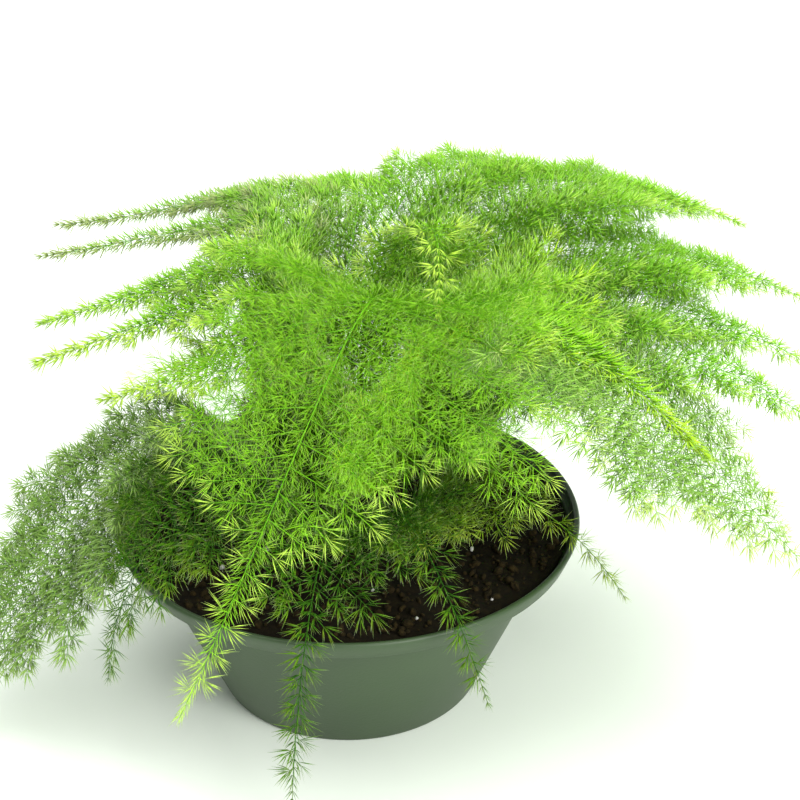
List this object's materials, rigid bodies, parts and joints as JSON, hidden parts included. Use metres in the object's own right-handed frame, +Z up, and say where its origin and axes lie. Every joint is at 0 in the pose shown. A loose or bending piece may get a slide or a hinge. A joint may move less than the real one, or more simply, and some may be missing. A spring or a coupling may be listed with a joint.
{
  "type": "potted asparagus fern",
  "caption": "Small asparagus fern with arching stems and flat sprays of fine needles, growing in soil in a round plastic nursery pot with a stepped-out collar.",
  "frame": {"origin": "middle of the pot's flat base, on the surface it stands on", "axes": "+Z up out of the pot, -Y the plant's front, where the longest frond in the picture hangs over the rim, +X to the right seen from the front"},
  "size_m": [0.2386, 0.2144, 0.1364],
  "materials": {
    "pot_plastic": "grey-green moulded polypropylene, satin, faint moulding marks",
    "potting_soil": "moist dark peat and bark crumbs with a few white perlite grains",
    "leaf_fresh": "young stems and needles, bright green, yellow-green at the tips, satin",
    "leaf_green": "living green stems and needles, yellow-green at the tips, satin",
    "leaf_shaded": "older dark green stems and needles of the low fronds"
  },
  "bodies": {
    "root": {"pot": "pot_plastic", "soil": "potting_soil", "frond_front": "leaf_fresh", "frond_crown": "leaf_fresh", "frond_right_front": "leaf_fresh", "frond_right_low": "leaf_green", "frond_right": "leaf_green", "frond_right_back": "leaf_green", "frond_far_right": "leaf_green", "frond_back_right": "leaf_green", "frond_back": "leaf_green", "frond_back_left": "leaf_green", "frond_left_back": "leaf_green", "frond_left_far": "leaf_green", "frond_left": "leaf_green", "frond_left_front": "leaf_fresh", "frond_left_near": "leaf_fresh", "frond_low_left": "leaf_shaded", "frond_low_front_left": "leaf_shaded", "frond_low_front": "leaf_shaded", "frond_low_front_right": "leaf_shaded", "frond_low_right": "leaf_shaded"}
  },
  "joints": []
}
